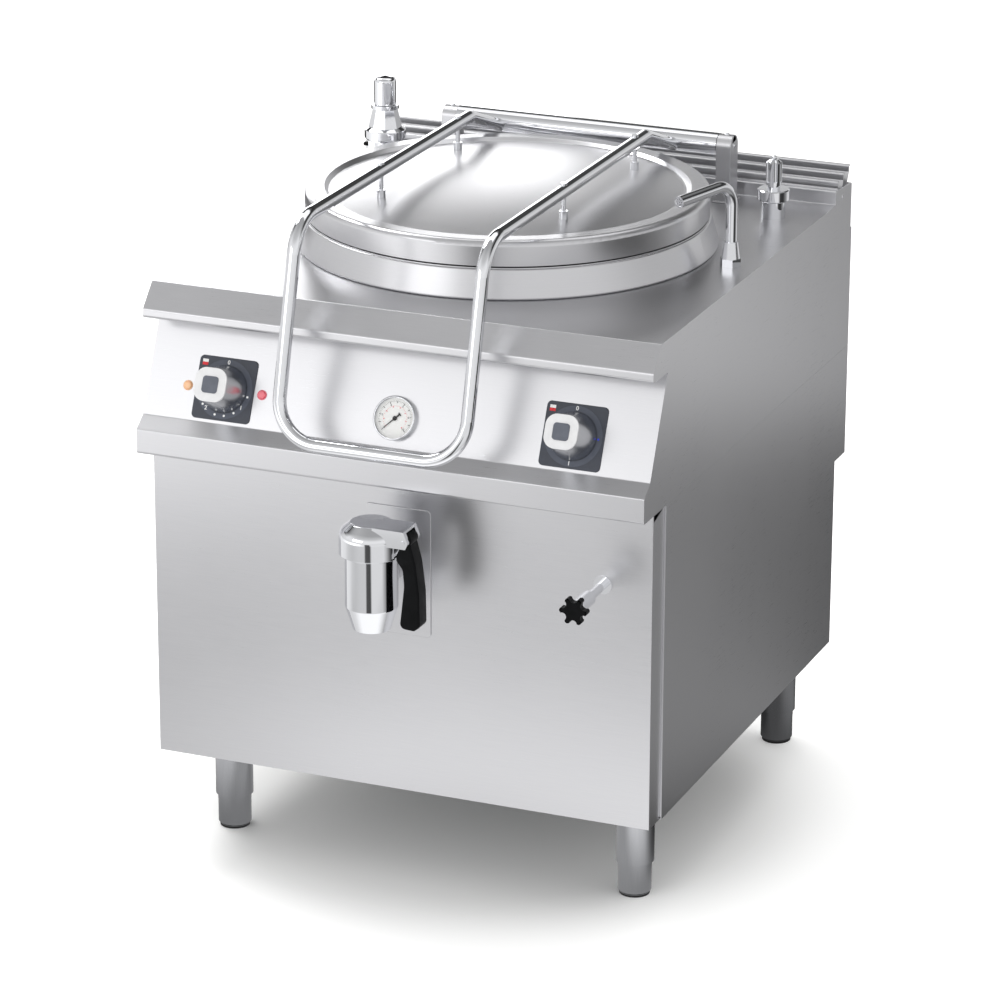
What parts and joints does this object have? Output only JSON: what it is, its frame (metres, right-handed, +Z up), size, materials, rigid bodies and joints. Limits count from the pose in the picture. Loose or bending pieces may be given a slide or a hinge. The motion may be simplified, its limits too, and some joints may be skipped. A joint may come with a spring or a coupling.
{
  "type": "steam jacketed kettle",
  "caption": "Floor-standing jacketed boiling kettle: boxed cabinet on four feet, round hinged lid with bent tube handle, swivel tap, drain valve, sloping control panel.",
  "frame": {"origin": "centre of the footprint of the bounding box, at the floor under the feet", "axes": "+X to the right seen from the control panel, +Y from the control panel to the rear, +Z up"},
  "size_m": [0.8008, 1.0164, 1.057],
  "materials": {
    "brushed_stainless": "brushed stainless steel sheet",
    "galvanised_sheet": "plain galvanised sheet",
    "chrome": "polished chrome",
    "black_plastic": "satin black moulded plastic",
    "copper_pipe": "plain copper pipe",
    "brass": "turned brass",
    "mineral_wool": "compressed mineral wool",
    "slate_plastic": "dark slate moulded plastic",
    "pale_plastic": "pale moulded ring around a dark slate centre",
    "orange_lens": "translucent orange lens",
    "red_lens": "translucent red lens",
    "clear_glass": "clear flat glass",
    "black_rubber": "black silicone gasket"
  },
  "bodies": {
    "cabinet": {"worktop": "brushed_stainless", "control_panel": "brushed_stainless", "front_panel": "brushed_stainless", "side_panel_left": "brushed_stainless", "side_panel_right": "brushed_stainless", "cheek_left": "brushed_stainless", "cheek_right": "brushed_stainless", "rear_duct": "brushed_stainless", "flue_grille": "brushed_stainless", "collar": "brushed_stainless", "vessel": "brushed_stainless", "drain_plate": "brushed_stainless", "legs": "brushed_stainless", "hinge_posts": "brushed_stainless", "floor_tray": "galvanised_sheet", "inner_frame": "galvanised_sheet", "rear_panel": "galvanised_sheet", "jacket": "galvanised_sheet", "control_box": "galvanised_sheet", "tap_base": "chrome", "vent_base": "chrome", "safety_base": "chrome", "drain_body": "chrome", "drain_cap": "chrome", "level_cock": "chrome", "gauge_case": "chrome", "screws": "chrome", "heating_elements": "chrome", "cable_gland": "black_plastic", "pipework": "copper_pipe", "water_inlet": "brass", "insulation": "mineral_wool", "knob_plates": "slate_plastic", "switch_blocks": "slate_plastic", "lamp_orange": "orange_lens", "lamp_red": "red_lens", "gauge_glass": "clear_glass"},
    "lid": {"hinge_bar": "chrome", "lid_shell": "brushed_stainless", "lid_liner": "brushed_stainless", "lid_gasket": "black_rubber", "lid_studs": "chrome", "handle_frame": "chrome"},
    "spout_arm": {"spout": "chrome"},
    "vent_top": {"vent_cap": "chrome"},
    "safety_top": {"safety_cap": "chrome"},
    "safety_trigger": {"safety_lever": "black_plastic"},
    "knob_left": {"knob_left_skirt": "brushed_stainless", "knob_left_face": "pale_plastic"},
    "knob_right": {"knob_right_skirt": "brushed_stainless", "knob_right_face": "pale_plastic"},
    "needle": {"gauge_needle": "black_plastic"},
    "drain_handle": {"drain_lever": "black_plastic"},
    "drain_plug": {"drain_piston": "chrome"},
    "star": {"star_knob": "black_plastic"},
    "levelling_front_left": {"foot_front_left": "brushed_stainless"},
    "levelling_front_right": {"foot_front_right": "brushed_stainless"},
    "levelling_rear_left": {"foot_rear_left": "brushed_stainless"},
    "levelling_rear_right": {"foot_rear_right": "brushed_stainless"}
  },
  "joints": [
    {"name": "lid_hinge", "type": "hinge", "parent": "cabinet", "child": "lid", "pos_m": [0, 0.38875, 0.9885], "axis": [-1, 0, 0], "range_deg": [0, 78]},
    {"name": "spout_swivel", "type": "hinge", "parent": "cabinet", "child": "spout_arm", "pos_m": [0.359, 0.05225, 0.928], "axis": [0, 0, 1], "range_deg": [-110, 35]},
    {"name": "vent_turn", "type": "hinge", "parent": "cabinet", "child": "vent_top", "pos_m": [0.331, 0.32625, 0.97], "axis": [0, 0, 1], "range_deg": [0, 270]},
    {"name": "safety_trigger_pull", "type": "hinge", "parent": "cabinet", "child": "safety_trigger", "pos_m": [-0.347, 0.33625, 0.942], "axis": [0, -1, 0], "range_deg": [0, 20]},
    {"name": "safety_lift", "type": "slide", "parent": "cabinet", "child": "safety_top", "axis": [0, 0, 1], "range_m": [0, 0.003]},
    {"name": "knob_left_turn", "type": "hinge", "parent": "cabinet", "child": "knob_left", "pos_m": [-0.275, -0.36729, 0.75236], "axis": [0, 0.9109, -0.4127], "range_deg": [0, 240]},
    {"name": "knob_right_turn", "type": "hinge", "parent": "cabinet", "child": "knob_right", "pos_m": [0.275, -0.36729, 0.75236], "axis": [0, 0.9109, -0.4127], "range_deg": [0, 180]},
    {"name": "needle_turn", "type": "hinge", "parent": "cabinet", "child": "needle", "pos_m": [0, -0.371, 0.74417], "axis": [0, 0.9109, -0.4127], "range_deg": [0, 270]},
    {"name": "drain_swing", "type": "hinge", "parent": "cabinet", "child": "drain_handle", "pos_m": [0.062, -0.46825, 0.6015], "axis": [0, -1, 0], "range_deg": [0, 75]},
    {"name": "drain_lift", "type": "slide", "parent": "cabinet", "child": "drain_plug", "axis": [0, 0, 1], "range_m": [0, 0.018]},
    {"name": "star_turn", "type": "hinge", "parent": "cabinet", "child": "star", "pos_m": [0.321, -0.47375, 0.532], "axis": [0, -1, 0], "range_deg": [0, 720]},
    {"name": "level_front_left", "type": "slide", "parent": "cabinet", "child": "levelling_front_left", "axis": [0, 0, -1], "range_m": [0, 0.025]},
    {"name": "level_front_right", "type": "slide", "parent": "cabinet", "child": "levelling_front_right", "axis": [0, 0, -1], "range_m": [0, 0.025]},
    {"name": "level_rear_left", "type": "slide", "parent": "cabinet", "child": "levelling_rear_left", "axis": [0, 0, -1], "range_m": [0, 0.025]},
    {"name": "level_rear_right", "type": "slide", "parent": "cabinet", "child": "levelling_rear_right", "axis": [0, 0, -1], "range_m": [0, 0.025]}
  ],
  "couplings": [
    {"joint": "safety_trigger_pull", "follows": "safety_lift", "rad_per_m": 116.24},
    {"joint": "drain_lift", "follows": "drain_swing", "m_per_rad": 0.013737}
  ]
}
